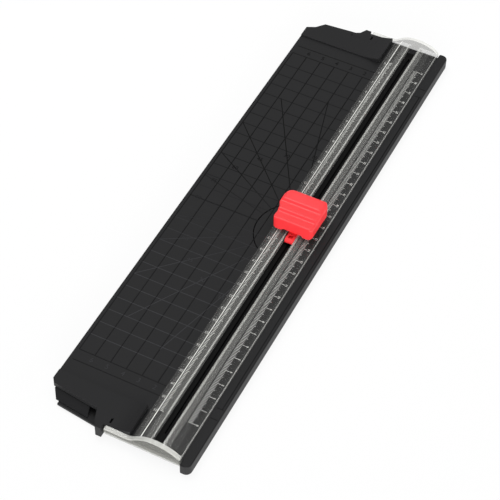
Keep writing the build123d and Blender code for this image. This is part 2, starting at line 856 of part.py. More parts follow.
def spring_point(place, step):
    """Point on the helix of a spring, counted in the sides of its turns."""
    angle = math.tau * step / spring_turn_sides
    x = place[0] + spring_radius * math.cos(angle)
    y = place[1] + spring_radius * math.sin(angle)
    return (x, y, spring_low + (spring_high - spring_low) * step / coil_steps)


for name, place in zip(("left_spring", "right_spring"), spring_places):
    coil_points = [spring_point(place, step) for step in range(coil_steps + 1)]
    half_turn = spring_turn_sides // 2
    least_gap = min(math.dist(a, b) for n, a in enumerate(coil_points) for b in coil_points[n + half_turn :])
    print(f"{name}: least gap between coils {least_gap - spring_wire:.2f} mm")
    with BuildPart() as return_spring:
        with BuildLine() as coil:
            Polyline(*coil_points)
        with BuildSketch(coil.line ^ 0):
            RegularPolygon(spring_wire / 2, spring_wire_sides)
        sweep(transition=Transition.RIGHT)
    save(return_spring, name)
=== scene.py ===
# %% [markdown]
# # A portable paper trimmer, dressed in Blender
#
# The trimmer is a black moulded board with a clear hinged guide, a red cutter head that slides
# along it, and a ruler arm that swings out from below. The solids come from a CAD model, so this
# lesson adds what a drawing leaves out: finishes, printed scales, moulded lines, light and a camera.

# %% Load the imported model
import math

import bpy
from mathutils import Matrix, Vector


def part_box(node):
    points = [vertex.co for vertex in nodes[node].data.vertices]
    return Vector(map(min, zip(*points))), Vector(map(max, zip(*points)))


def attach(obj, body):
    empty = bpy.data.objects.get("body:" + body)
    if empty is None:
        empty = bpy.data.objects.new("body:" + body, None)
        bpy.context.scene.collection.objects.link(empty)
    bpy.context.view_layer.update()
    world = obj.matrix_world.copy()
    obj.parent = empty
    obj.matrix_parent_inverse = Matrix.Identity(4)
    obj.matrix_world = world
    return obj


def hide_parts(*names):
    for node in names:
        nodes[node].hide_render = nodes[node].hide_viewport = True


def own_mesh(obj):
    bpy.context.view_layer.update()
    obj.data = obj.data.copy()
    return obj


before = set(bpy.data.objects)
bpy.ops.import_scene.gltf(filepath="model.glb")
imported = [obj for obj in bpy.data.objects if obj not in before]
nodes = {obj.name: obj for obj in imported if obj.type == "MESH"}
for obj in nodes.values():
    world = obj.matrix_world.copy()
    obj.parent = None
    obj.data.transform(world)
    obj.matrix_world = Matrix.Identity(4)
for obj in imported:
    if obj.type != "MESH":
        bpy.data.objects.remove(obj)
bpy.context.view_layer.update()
scene = bpy.context.scene
print("solids", sorted(nodes))

# %% [markdown]
# ## Places read from the solids
#
# Everything that is printed or moulded on this object is measured from two lines: the cut line,
# which is the middle of the cutting strip, and the zero of the centimetre scale at the near end.
# Reading them from the solids keeps the marks on the board when a size changes. All sizes are
# written in millimetres and turned into metres by one helper.

# %% Datum lines and levels
def mm(*sizes):
    """Millimetres as metres: one number, or a vector from three."""
    return sizes[0] / 1000 if len(sizes) == 1 else Vector(sizes) / 1000


board_low, board_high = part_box("base_board")
strip_low, strip_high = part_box("cutting_strip")

cut_x = (strip_low.x + strip_high.x) / 2
bed_z = strip_high.z + mm(0.1)
zero_y = board_low.y + mm(24.8)
scale_length = mm(310)
end_y = zero_y + scale_length
rail_z = bed_z + mm(3.0)
bridge_y = board_high.y - mm(3.8)
print(f"cut line at x {cut_x:.4f} m, scale from y {zero_y:.4f} to {end_y:.4f} m")

# %% [markdown]
# ## Helpers for nodes
#
# Materials and geometry trees are both node trees. One function adds a node, sets its properties
# and fills its sockets. A socket takes either a plain value or the output of another node. Sums,
# ranges and vectors occur in both kinds of tree, so each has a short function that returns its result.

# %% Add a node
def add(tree, kind, sockets=None, **settings):
    """Add one node with its settings, then fill or link its input sockets."""
    new = tree.nodes.new(kind)
    for name, value in settings.items():
        setattr(new, name, value)
    for key, value in (sockets or {}).items():
        if isinstance(value, bpy.types.NodeSocket):
            tree.links.new(value, new.inputs[key])
        else:
            new.inputs[key].default_value = value
    return new


# %% Sums, ranges and vectors
def calculate(tree, operation, *values):
    """The result of one Math node whose sockets are filled in order."""
    return add(tree, "ShaderNodeMath", dict(enumerate(values)), operation=operation).outputs[0]


def map_range(tree, value, **ends):
    """A value carried from one range to another. An end that is left out is 0 or 1."""
    sockets = {end.replace("_", " "): limit for end, limit in ends.items()}
    return add(tree, "ShaderNodeMapRange", {"Value": value, **sockets}).outputs["Result"]


def split(tree, vector):
    """The X, Y and Z outputs of a vector."""
    return add(tree, "ShaderNodeSeparateXYZ", {"Vector": vector}).outputs


def combine(tree, **axes):
    """A vector from values on some of its axes."""
    return add(tree, "ShaderNodeCombineXYZ", axes).outputs[0]


# %% [markdown]
# ## Finishes
#
# Each finish is one Principled shader. The pattern is read from Object coordinates, which are
# metres here, so a pattern that is `size` millimetres across has a noise scale of 1000 / size.

# %% Start a material
def new_material(name, **sockets):
    """A material with one Principled shader, its tree, the shader and object coordinates."""
    material = bpy.data.materials.new(name)
    material.use_nodes = True
    tree = material.node_tree
    shader = tree.nodes["Principled BSDF"]
    for socket, value in sockets.items():
        shader.inputs[socket.replace("_", " ")].default_value = value
    place = add(tree, "ShaderNodeTexCoord").outputs["Object"]
    return material, tree, shader, place


def plug(tree, shader, **outputs):
    """Link outputs to the shader's sockets of these names."""
    for socket, output in outputs.items():
        tree.links.new(output, shader.inputs[socket.replace("_", " ")])


# %% Patterns
def linear(hex_colour):
    """An sRGB hex colour as linear red, green, blue and alpha."""
    channels = [int(hex_colour[i : i + 2], 16) / 255 for i in (1, 3, 5)]
    return [c / 12.92 if c <= 0.04045 else ((c + 0.055) / 1.055) ** 2.4 for c in channels] + [1]


def colour_mix(tree, share, first, second):
    """The colour between two hex colours at a share from 0 to 1."""
    mix = add(tree, "ShaderNodeMix", {"Factor": share}, data_type="RGBA")
    mix.inputs["A"].default_value = linear(first)
    mix.inputs["B"].default_value = linear(second)
    return mix.outputs["Result"]


def noise(tree, place, size, detail=2):
    """A noise from 0 to 1 whose features are `size` millimetres across."""
    sockets = {"Vector": place, "Scale": 1000 / size, "Detail": detail}
    return add(tree, "ShaderNodeTexNoise", sockets).outputs["Fac"]


def bump(tree, height, strength, depth):
    """A normal that is tilted by a pattern of heights."""
    sockets = {"Height": height, "Strength": strength, "Distance": depth}
    return add(tree, "ShaderNodeBump", sockets).outputs["Normal"]


# %% [markdown]
# ### Black ABS, moulded against a spark-eroded tool
#
# The tool's fine pits leave a dull grain on the board that breaks up reflections, with slightly
# glossier patches where hands rub it. The walls slid along the tool when the board came out, so they
# shine more than the top. The real grain is about 0.15 mm, too fine for the picture, so it is drawn
# at 0.6 mm.

# %% Grained black ABS
abs_ior = 1.53
rubbed_patch = 45


def grained_black(name, dark, light, roughness, grain_size, sheen, wall_sheen):
    material, tree, shader, place = new_material(name, IOR=abs_ior)
    patches = noise(tree, place, rubbed_patch, detail=3)
    grain = noise(tree, place, grain_size)
    upward = split(tree, place.node.outputs["Normal"])["Z"]
    plug(
        tree,
        shader,
        Base_Color=colour_mix(tree, patches, dark, light),
        Roughness=map_range(tree, patches, To_Min=roughness - 0.05, To_Max=roughness + 0.06),
        Specular_IOR_Level=map_range(
            tree, upward, From_Min=0.3, From_Max=0.7, To_Min=wall_sheen, To_Max=sheen
        ),
        Normal=bump(tree, grain, 0.12, mm(0.08)),
    )
    return material


board_abs = grained_black("black_abs_grained", "#131314", "#181819", 0.55, 0.6, 0.1, 0.34)
strip_plastic = grained_black("black_strip_smooth", "#050505", "#080808", 0.45, 1.2, 0.03, 0.03)
foot_rubber = grained_black("black_foot_rubber", "#141413", "#1c1c1b", 0.75, 0.5, 0.2, 0.2)

# %% [markdown]
# ### Lines in the tool
#
# The lines of the bed are polished in the tool, so they lack the grain. Their colour is painted light:
# a near-black painted shade in the far half, and a paler painted highlight in the near half, strongest
# on those that lie across the bed. A ramp along Y carries each kind of line from its tone at the near
# end to its tone at the far end.

# %% Polished lines with painted highlight and shade
# Nearer than this Y a line has its full painted highlight; beyond the next Y, its full painted shade.
painted_highlight_y = mm(-60)
painted_shade_y = mm(25)


def line_with_painted_light(name, far, near):
    material, tree, shader, place = new_material(
        name, IOR=abs_ior, Specular_IOR_Level=0.04, Roughness=0.45
    )
    along = map_range(tree, split(tree, place)["Y"], From_Min=painted_highlight_y, From_Max=painted_shade_y)
    # The base colour paints the highlight at the near end and the shade at the far end.
    plug(tree, shader, Base_Color=colour_mix(tree, along, near, far))
    return material


# Each line gets a far tone, which is painted shade, and a near tone, which is painted highlight.
line_along = line_with_painted_light("black_abs_lines_along", "#010101", "#0e0e0f")
line_across = line_with_painted_light("black_abs_lines_across", "#0a0a0b", "#323234")
line_turning = line_with_painted_light("black_abs_protractor", "#010101", "#313133")

# %% [markdown]
# ### Coral red ABS
#
# The grip is moulded in a strong red with a satin skin, so its ridges carry soft, pale highlights.

# %% Satin red ABS
flow_mark = 9
skin_grain = 0.5


def satin_red():
    material, tree, shader, place = new_material(
        "red_abs_satin",
        IOR=abs_ior,
        Specular_IOR_Level=0.25,
        Roughness=0.34,
        Subsurface_Weight=0.08,
        Subsurface_Radius=mm(2.0, 0.5, 0.4),
        Subsurface_Scale=1.0,
    )
    flow = noise(tree, place, flow_mark)
    skin = noise(tree, place, skin_grain)
    plug(
        tree,
        shader,
        Base_Color=colour_mix(tree, flow, "#f13338", "#f63c41"),
        Normal=bump(tree, skin, 0.06, mm(0.05)),
    )
    return material


red_abs = satin_red()

# %% [markdown]
# ### Clear styrene
#
# The guide is clear moulded styrene, so the board shows through it. Its ridges, lips and edges gather
# light from the whole length of the rail, which no small number of bounces can follow, and glass by
# refraction would be grainy here. So the plastic is see-through by Alpha: very low on flat walls,
# higher where they are seen edge on, along the moulded bands of the rails and on the two bridges.
# Where it is less clear, its pale colour is painted light: a painted reflection on the walls and where
# they are seen edge on, and painted highlights along the bands. The bridges are pale cream on top,
# and their walls are painted grey, a painted shade.

# %% Haze and painted sheen of the clear styrene
# The least haze of every wall is a faint painted reflection.
wall_painted_sheen = 0.012
edge_on_painted_sheen = 0.4
bridge_wall_haze = 0.36
bridge_top_haze = 0.5
bridge_depth = mm(10)
band_edge = mm(0.25)
lower_wall_z = bed_z + mm(0.9)
painted_sheen_bands = {  # middle from the cut line and half width in mm, then the painted sheen of the upper wall
    "flange edge": (-12.9, 0.9, 0.03),
    "flange": (-11.2, 1.0, 0.08),
    "ridge": (-9.8, 0.3, 0.9),
    "left hatch": (-8.1, 0.9, 0.05),
    "left rail": (-5.9, 1.3, 0.1),
    "left lip": (-4.2, 0.3, 0.25),
    "right lip": (3.6, 0.4, 0.28),
    "right rail": (6.2, 1.2, 0.1),
    "right hatch": (9.8, 1.6, 0.03),
    "right edge": (15.55, 0.25, 0.28),
}


# %% Clear styrene with bands of painted sheen
def within(tree, value, centre, half):
    """1 where a value is at most `half` from a centre, falling to 0 across the edge of the band."""
    distance = calculate(tree, "ABSOLUTE", calculate(tree, "SUBTRACT", value, centre))
    return map_range(tree, distance, From_Min=half, From_Max=half + band_edge, To_Min=1, To_Max=0)


def clear_styrene():
    material, tree, shader, place = new_material("clear_styrene_polished", IOR=1.57, Roughness=0.12)
    spot = split(tree, place)
    upward = split(tree, place.node.outputs["Normal"])["Z"]
    top = map_range(tree, upward, From_Min=0.3, From_Max=0.6)
    from_middle = calculate(tree, "ABSOLUTE", spot["Y"])
    bridge = within(tree, from_middle, bridge_y + bridge_depth, bridge_depth)
    rails = calculate(tree, "SUBTRACT", 1, bridge)
    haze_and_sheen = 0.0
    # Each band paints a highlight or reflection along the rail as a paler, less clear stripe.
    for middle, half, strength in painted_sheen_bands.values():
        band = within(tree, spot["X"], cut_x + mm(middle), mm(half))
        haze_and_sheen = calculate(tree, "MAXIMUM", haze_and_sheen, calculate(tree, "MULTIPLY", band, strength))
    for mask in (calculate(tree, "GREATER_THAN", spot["Z"], lower_wall_z), rails):
        haze_and_sheen = calculate(tree, "MULTIPLY", haze_and_sheen, mask)
    ends = map_range(tree, top, To_Min=bridge_wall_haze, To_Max=bridge_top_haze)
    ends = calculate(tree, "MULTIPLY", ends, bridge)
    # Walls seen edge on get a painted reflection, paler the more edge on they are.
    facing = add(tree, "ShaderNodeLayerWeight", {"Blend": 0.5}).outputs["Facing"]
    edge_on = calculate(tree, "MULTIPLY", calculate(tree, "POWER", facing, 4), edge_on_painted_sheen)
    for share in (ends, edge_on, wall_painted_sheen):
        haze_and_sheen = calculate(tree, "MAXIMUM", haze_and_sheen, share)
    # The bridges' walls that face sideways are painted grey, a painted shade; their tops and the rails
    # stay pale.
    pale = calculate(tree, "MAXIMUM", top, rails)
    plug(tree, shader, Alpha=haze_and_sheen, Base_Color=colour_mix(tree, pale, "#84847e", "#f2f2ec"))
    return material


clear_plastic = clear_styrene()

# %% [markdown]
# ### White printing ink
#
# The scales are pad printed. The film is thin, so its white is a little uneven, and on the numbers
# of the left rail it is so thin that the board greys it.

# %% White ink
ink_blotch = 1.5


def printing_ink(name, thin, full):
    material, tree, shader, place = new_material(name, IOR=1.5, Roughness=0.5)
    film = noise(tree, place, ink_blotch)
    plug(tree, shader, Base_Color=colour_mix(tree, film, thin, full))
    return material


white_ink = printing_ink("white_printing_ink", "#c4c4bf", "#e6e6e1")
thin_ink = printing_ink("thin_printing_ink", "#a4a4a0", "#c8c8c3")

# %% [markdown]
# ### Steel
#
# The blade is ground across its edge, while screws, washer and springs are bright zinc plated.
# A noise that is stretched along one axis draws the grinding lines.

# %% Ground and plated steel
scratch_width = 0.4


def steel(name, colour, roughness, stretch):
    material, tree, shader, place = new_material(name, Metallic=1.0, Base_Color=linear(colour))
    stretched = add(tree, "ShaderNodeMapping", {"Vector": place, "Scale": stretch}).outputs[0]
    scratches = noise(tree, stretched, scratch_width)
    gloss = map_range(tree, scratches, To_Min=roughness - 0.08, To_Max=roughness + 0.1)
    plug(tree, shader, Roughness=gloss)
    return material


ground_steel = steel("ground_blade_steel", "#c4c6c8", 0.25, (1, 1, 0.08))
zinc_steel = steel("zinc_plated_steel", "#b9babc", 0.32, (1, 1, 1))

# %% Give every solid its finish
finishes = {
    board_abs: ["base_board", "side_ruler"],
    strip_plastic: ["cutting_strip", "slider_keeper", "blade_holder", "blade_cover"],
    foot_rubber: ["rubber_feet"],
    red_abs: ["press_cap", "slider_body"],
    clear_plastic: ["clear_guide"],
    ground_steel: ["blade"],
    zinc_steel: ["side_ruler_washer", "side_ruler_screw", "keeper_screws", "holder_screws"],
}
for finish, names in finishes.items():
    for name in names:
        nodes[name].data.materials.clear()
        nodes[name].data.materials.append(finish)
print("finished", sum(len(names) for names in finishes.values()), "solids")

# %% [markdown]
# ## The grip
#
# A moulded grip has no hard edge anywhere. Its solid has the ridges, the waist and the round corners,
# but its faces still meet at edges. A bevel would stumble over the many short edges of the ridges, so
# a copy is first trimmed by two prisms with wide corners, one seen from above and one from the front.
# Then it is rebuilt from small voxels and relaxed, which rounds every edge alike, and thinned.

# %% Prisms with round corners
def round_outline(low, high, radii, sides=12):
    """A rectangle's outline, counter-clockwise from the low corner, with a radius for each corner."""
    corners = [(low[0], low[1]), (high[0], low[1]), (high[0], high[1]), (low[0], high[1])]
    inward = [(1, 1), (-1, 1), (-1, -1), (1, -1)]
    outline = []
    for quarter, ((x, y), (u, v), radius) in enumerate(zip(corners, inward, radii)):
        for step in range(sides + 1):
            turn = math.pi * (1 + quarter / 2 + step / sides / 2)
            outline.append((x + radius * (u + math.cos(turn)), y + radius * (v + math.sin(turn))))
    return outline


def prism(name, base, lift):
    """A closed prism from an outline whose counter-clockwise side faces along `lift`."""
    count = len(base)
    sides = [(i, (i + 1) % count, (i + 1) % count + count, i + count) for i in range(count)]
    mesh = bpy.data.meshes.new(name)
    mesh.from_pydata(
        base + [point + lift for point in base],
        [],
        [tuple(reversed(range(count))), tuple(range(count, 2 * count))] + sides,
    )
    solid = bpy.data.objects.new(name, mesh)
    scene.collection.objects.link(solid)
    return solid


# %% Rounded copy of a solid
def rounded_copy(node, name, trims, voxel, passes, keep):
    """A copy of a solid's mesh, trimmed, then rebuilt from voxels, relaxed and thinned."""
    source = bpy.data.objects.new(name + "_source", nodes[node].data.copy())
    scene.collection.objects.link(source)
    source.modifiers.new("weld", "WELD").merge_threshold = mm(0.002)
    for trim in trims:
        cut = source.modifiers.new(trim.name, "BOOLEAN")
        cut.operation, cut.object = "INTERSECT", trim
    rebuild = source.modifiers.new("rebuild", "REMESH")
    rebuild.mode = "VOXEL"
    rebuild.voxel_size = voxel
    relax = source.modifiers.new("relax", "SMOOTH")
    relax.factor, relax.iterations = 0.5, passes
    source.modifiers.new("thin", "DECIMATE").ratio = keep
    graph = bpy.context.evaluated_depsgraph_get()
    mesh = bpy.data.meshes.new_from_object(source.evaluated_get(graph))
    for helper in [source] + trims:
        bpy.data.objects.remove(helper)
    mesh.name = name
    mesh.polygons.foreach_set("use_smooth", [True] * len(mesh.polygons))
    return mesh


# %% Trim and round the cap
cap_low, cap_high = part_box("press_cap")
cap_size = cap_high - cap_low
spare = mm(2)
back_corners = (mm(6.5), mm(10))
top_corners = (mm(4.2), mm(3.2))
plan = round_outline(
    (cap_low.x, cap_low.y - spare), (cap_high.x, cap_high.y), (0, 0, *back_corners)
)
front = round_outline(
    (cap_low.x, cap_low.z - spare), (cap_high.x, cap_high.z), (0, 0, *top_corners)
)
trims = [
    prism(
        "plan_trim",
        [Vector((x, y, cap_low.z - spare)) for x, y in plan],
        Vector((0, 0, cap_size.z + 2 * spare)),
    ),
    prism(
        "front_trim",
        [Vector((x, cap_high.y + spare, z)) for x, z in front],
        Vector((0, -cap_size.y - 2 * spare, 0)),
    ),
]
grip_mesh = rounded_copy("press_cap", "ridged_grip", trims, voxel=mm(0.35), passes=14, keep=0.3)
grip_mesh.materials.clear()
grip_mesh.materials.append(red_abs)
grip = bpy.data.objects.new("ridged_grip", grip_mesh)
scene.collection.objects.link(grip)
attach(grip, "cap")
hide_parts("press_cap")
print(f"grip: {len(grip_mesh.polygons)} faces")

# %% [markdown]
# ## Trees that repeat
#
# A ruler is the same tick hundreds of times, so the marks are grown by Geometry Nodes. A tree has
# named inputs for its sizes. It runs once on an empty mesh, and the result is kept as a plain mesh
# that rides on one body of the trimmer.

# %% Build and run a tree
def new_tree(name, **sockets):
    """An empty geometry tree with named inputs. Returns it with the outputs of its input node."""
    tree = bpy.data.node_groups.new(name, "GeometryNodeTree")
    for label, kind in sockets.items():
        tree.interface.new_socket(label, in_out="INPUT", socket_type="NodeSocket" + kind)
    tree.interface.new_socket("Geometry", in_out="OUTPUT", socket_type="NodeSocketGeometry")
    return tree, add(tree, "NodeGroupInput").outputs


def close_tree(tree, geometry, start, material):
    """End a tree: move the geometry to its start, realise the copies and give them their material."""
    placed = add(tree, "GeometryNodeTransform", {"Geometry": geometry, "Translation": start})
    real = add(tree, "GeometryNodeRealizeInstances", {"Geometry": placed.outputs[0]})
    coloured = add(
        tree, "GeometryNodeSetMaterial", {"Geometry": real.outputs[0], "Material": material}
    )
    add(tree, "NodeGroupOutput", {"Geometry": coloured.outputs[0]})
    return tree


def grow(tree, name, body, slot, **values):
    """Run a tree with these input values and keep its mesh as a piece on a body."""
    seed = bpy.data.objects.new(name + "_seed", bpy.data.meshes.new(name + "_seed"))
    scene.collection.objects.link(seed)
    modifier = seed.modifiers.new("marks", "NODES")
    modifier.node_group = tree
    for socket in tree.interface.items_tree:
        if socket.in_out == "INPUT":
            modifier[socket.identifier] = values[socket.name]
    graph = bpy.context.evaluated_depsgraph_get()
    mesh = bpy.data.meshes.new_from_object(seed.evaluated_get(graph))
    bpy.data.objects.remove(seed)
    mesh.name = name
    piece = bpy.data.objects.new(name, mesh)
    scene.collection.objects.link(piece)
    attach(piece, body)
    print(f"{name}: {len(mesh.polygons)} faces")
    return piece


# %% [markdown]
# ### A row of bars
#
# Ticks and grid lines are both rows of thin bars. The bar starts at its row, so one row of points
# carries ticks of three lengths: every tenth is long, every fifth is middling, the rest are short.

# %% One bar, flat or roofed
def unit_bar(tree, roof):
    """A bar 1 m each way that starts at the origin. A roof of 1 draws its top in to a ridge."""
    cube = add(tree, "GeometryNodeMeshCube", {"Size": (1, 1, 1)})
    corner = split(tree, add(tree, "GeometryNodeInputPosition").outputs[0])
    top = calculate(tree, "GREATER_THAN", corner["Z"], 0.0)
    pull = calculate(tree, "MULTIPLY", corner["Y"], roof)
    inward = combine(tree, Y=calculate(tree, "MULTIPLY", pull, -1.0))
    shaped = add(
        tree,
        "GeometryNodeSetPosition",
        {"Geometry": cube.outputs["Mesh"], "Selection": top, "Offset": inward},
    )
    merged = add(
        tree, "GeometryNodeMergeByDistance", {"Geometry": shaped.outputs[0], "Distance": 0.001}
    )
    bar = add(
        tree,
        "GeometryNodeTransform",
        {"Geometry": merged.outputs[0], "Translation": (0.5, 0, 0.5)},
    )
    return bar.outputs[0]


# %% Tree for rows of bars
def bar_row_tree():
    tree, sizes = new_tree(
        "bar_row",
        Count="Int",
        Pitch="Vector",
        Short="Float",
        Middle="Float",
        Long="Float",
        Width="Float",
        Height="Float",
        Roof="Float",
        Start="Vector",
        Turn="Vector",
        Material="Material",
    )
    index = add(tree, "GeometryNodeInputIndex").outputs[0]
    length = sizes["Short"]
    for every, longer, shorter in ((5, "Middle", "Short"), (10, "Long", "Middle")):
        hit = calculate(tree, "COMPARE", calculate(tree, "MODULO", index, every), 0, 0.5)
        gain = calculate(tree, "SUBTRACT", sizes[longer], sizes[shorter])
        length = calculate(tree, "MULTIPLY_ADD", hit, gain, length)
    row = add(tree, "GeometryNodeMeshLine", {"Count": sizes["Count"], "Offset": sizes["Pitch"]})
    bars = add(
        tree,
        "GeometryNodeInstanceOnPoints",
        {
            "Points": row.outputs["Mesh"],
            "Instance": unit_bar(tree, sizes["Roof"]),
            "Scale": combine(tree, X=length, Y=sizes["Width"], Z=sizes["Height"]),
            "Rotation": sizes["Turn"],
        },
    )
    return close_tree(tree, bars.outputs[0], sizes["Start"], sizes["Material"])


bar_row = bar_row_tree()

# %% [markdown]
# ### A row of numbers
#
# A repeat zone counts along the scale. Each turn writes its number as curves, fills them and gives
# the ink a thin body, closed below, so that the print is a solid film and not a loose sheet.

# %% One number as a thin body
def number_body(tree, number, size, height):
    """A number as flat digits of a size, raised to a height and closed below."""
    digits = add(tree, "FunctionNodeValueToString", {"Value": number})
    curves = add(
        tree,
        "GeometryNodeStringToCurves",
        {"String": digits.outputs[0], "Size": size},
        align_x="CENTER",
        align_y="MIDDLE",
    )
    loose = add(tree, "GeometryNodeRealizeInstances", {"Geometry": curves.outputs[0]})
    coarse = add(
        tree, "GeometryNodeSetSplineResolution", {"Geometry": loose.outputs[0], "Resolution": 3}
    )
    face = add(tree, "GeometryNodeFillCurve", {"Curve": coarse.outputs[0]})
    raised = add(
        tree,
        "GeometryNodeExtrudeMesh",
        {"Mesh": face.outputs[0], "Offset Scale": height, "Individual": False},
    )
    below = add(tree, "GeometryNodeFlipFaces", {"Mesh": face.outputs[0]})
    body = add(tree, "GeometryNodeJoinGeometry")
    tree.links.new(raised.outputs["Mesh"], body.inputs[0])
    tree.links.new(below.outputs[0], body.inputs[0])
    closed = add(
        tree, "GeometryNodeMergeByDistance", {"Geometry": body.outputs[0], "Distance": mm(0.002)}
    )
    return closed.outputs[0]


# %% Tree for rows of numbers
def number_row_tree():
    tree, sizes = new_tree(
        "number_row",
        Count="Int",
        First="Float",
        Step="Float",
        Pitch="Vector",
        Size="Float",
        Height="Float",
        Start="Vector",
        Turn="Vector",
        Material="Material",
    )
    begin = add(tree, "GeometryNodeRepeatInput")
    finish = add(tree, "GeometryNodeRepeatOutput")
    begin.pair_with_output(finish)
    tree.links.new(sizes["Count"], begin.inputs["Iterations"])
    turn_count = begin.outputs["Iteration"]
    number = calculate(tree, "MULTIPLY_ADD", turn_count, sizes["Step"], sizes["First"])
    shift = add(
        tree, "ShaderNodeVectorMath", {0: sizes["Pitch"], 1: turn_count}, operation="MULTIPLY"
    )
    placed = add(
        tree,
        "GeometryNodeTransform",
        {
            "Geometry": number_body(tree, number, sizes["Size"], sizes["Height"]),
            "Translation": shift.outputs[0],
            "Rotation": sizes["Turn"],
        },
    )
    so_far = add(tree, "GeometryNodeJoinGeometry")
    tree.links.new(begin.outputs["Geometry"], so_far.inputs[0])
    tree.links.new(placed.outputs[0], so_far.inputs[0])
    tree.links.new(so_far.outputs[0], finish.inputs["Geometry"])
    return close_tree(tree, finish.outputs["Geometry"], sizes["Start"], sizes["Material"])


number_row = number_row_tree()

# %% [markdown]
# ## Scales printed on the clear guide
#
# Both rails carry a centimetre scale with millimetre ticks. The scale of the right rail counts from
# the near end, the one of the left rail from the far end. The ink is 0.04 mm thick.

# %% Places of the scales
ink = mm(0.04)
upright = Vector((0, 0, 0))
turned_round = Vector((0, 0, math.pi))
quarter_turn = Vector((0, 0, math.pi / 2))
millimetres = 311
centimetres = 32

lip_tick_x = cut_x - mm(4.6)
left_tick_x = cut_x - mm(9.0)
left_number_x = cut_x - mm(11.8)
right_tick_x = cut_x + mm(8.2)
right_number_x = cut_x + mm(13.9)
panel_z = rail_z + mm(0.3)
flange_z = bed_z + mm(1.42)
lip_z = rail_z + mm(0.25)


# %% Printed scales
def tick_row(name, x, z, lengths, width=mm(0.19)):
    short, middle, long = [mm(length) for length in lengths]
    return grow(
        bar_row,
        name,
        "guide",
        "clear_plastic",
        Count=millimetres,
        Pitch=mm(0, 1, 0),
        Short=short,
        Middle=middle,
        Long=long,
        Width=width,
        Height=ink,
        Roof=0.0,
        Start=Vector((x, zero_y, z)),
        Turn=upright,
        Material=white_ink,
    )


def number_scale(name, x, z, y, step, size, turn, film):
    return grow(
        number_row,
        name,
        "guide",
        "clear_plastic",
        Count=centimetres,
        First=0.0,
        Step=1.0,
        Pitch=mm(0, step, 0),
        Size=mm(size),
        Height=ink,
        Start=Vector((x, y, z)),
        Turn=turn,
        Material=film,
    )


tick_row("left_rail_ticks", left_tick_x, rail_z, (1.5, 1.8, 2.2), mm(0.32))
tick_row("cut_edge_ticks", lip_tick_x, lip_z, (1.0, 1.0, 1.2))
tick_row("right_rail_ticks", right_tick_x, panel_z, (2.6, 3.4, 4.6))
number_scale("left_rail_numbers", left_number_x, flange_z, end_y, -10, 2.4, turned_round, thin_ink)
number_scale("right_rail_numbers", right_number_x, panel_z, zero_y, 10, 2.0, quarter_turn, white_ink)

# %% [markdown]
# ## Lines moulded in the paper bed
#
# The bed has a 10 mm grid, two bands with the distance from the cut, and a protractor whose centre
# is on the cut line. These lines are polished in the tool, and their colour is painted light: darker
# than the grain as a painted shade, and paler in the near half as a painted highlight. They stand
# 0.05 mm proud as thin bars.

# %% Places of the lines
line_width = mm(0.6)
line_height = mm(0.05)
cell = 10
band_width = 7.5
border_x = cut_x - mm(70)
rail_shade_x = cut_x - mm(5)
near_bands = [zero_y + mm(cell), zero_y + mm(cell + band_width)]
far_bands = [end_y - mm(cell), end_y - mm(cell + band_width)]
across = rail_shade_x - border_x
grid_near = near_bands[1]
grid_far = far_bands[1]
along = grid_far - grid_near
lane_x = board_high.x - mm(5.6)
lane_reach = mm(4.6)
lane_line_x = board_high.x - mm(2)


# %% Grid and bands
def moulded_row(name, count, pitch, length, start, turn=upright, tone=line_along):
    return grow(
        bar_row,
        name,
        "base",
        "black_plastic",
        Count=count,
        Pitch=pitch,
        Short=length,
        Middle=length,
        Long=length,
        Width=line_width,
        Height=line_height,
        Roof=1.0,
        Start=Vector((*start, bed_z)),
        Turn=turn,
        Material=tone,
    )


cell_across = mm(cell, 0, 0)
cell_along = mm(0, cell, 0)
band_step = mm(0, band_width, 0)
first_line_y = zero_y + mm(3 * cell)
moulded_row("grid_across", 26, cell_along, across, (border_x, first_line_y), tone=line_across)
moulded_row("grid_along", 6, cell_across, along, (border_x, grid_near), quarter_turn)
moulded_row("near_band_lines", 2, band_step, across, (border_x, near_bands[0]))
moulded_row("far_band_lines", 2, band_step, across, (border_x, far_bands[1]))
moulded_row("lane_near_marks", 2, band_step, lane_reach, (lane_x, near_bands[0]))
moulded_row("lane_far_marks", 2, band_step, lane_reach, (lane_x, far_bands[1]))
moulded_row("lane_line", 1, cell_along, along, (lane_line_x, grid_near), quarter_turn)

# %% Numbers of the bands
def moulded_numbers(name, count, first, step, pitch, size, start):
    return grow(
        number_row,
        name,
        "base",
        "black_plastic",
        Count=count,
        First=first,
        Step=step,
        Pitch=pitch,
        Size=mm(size),
        Height=line_height,
        Start=start,
        Turn=upright,
        Material=line_turning,
    )


for name, bands in (("near_band_numbers", near_bands), ("far_band_numbers", far_bands)):
    first_spot = Vector((border_x + mm(cell), sum(bands) / 2, bed_z))
    moulded_numbers(name, 5, 6.0, -1.0, cell_across, 4.5, first_spot)

# %% [markdown]
# ### The protractor
#
# Eleven rays leave one point on the cut line, 15 degrees apart. A ray stops at the grid's border
# or at a largest radius, whichever comes first, so its length is a small sum inside the tree.

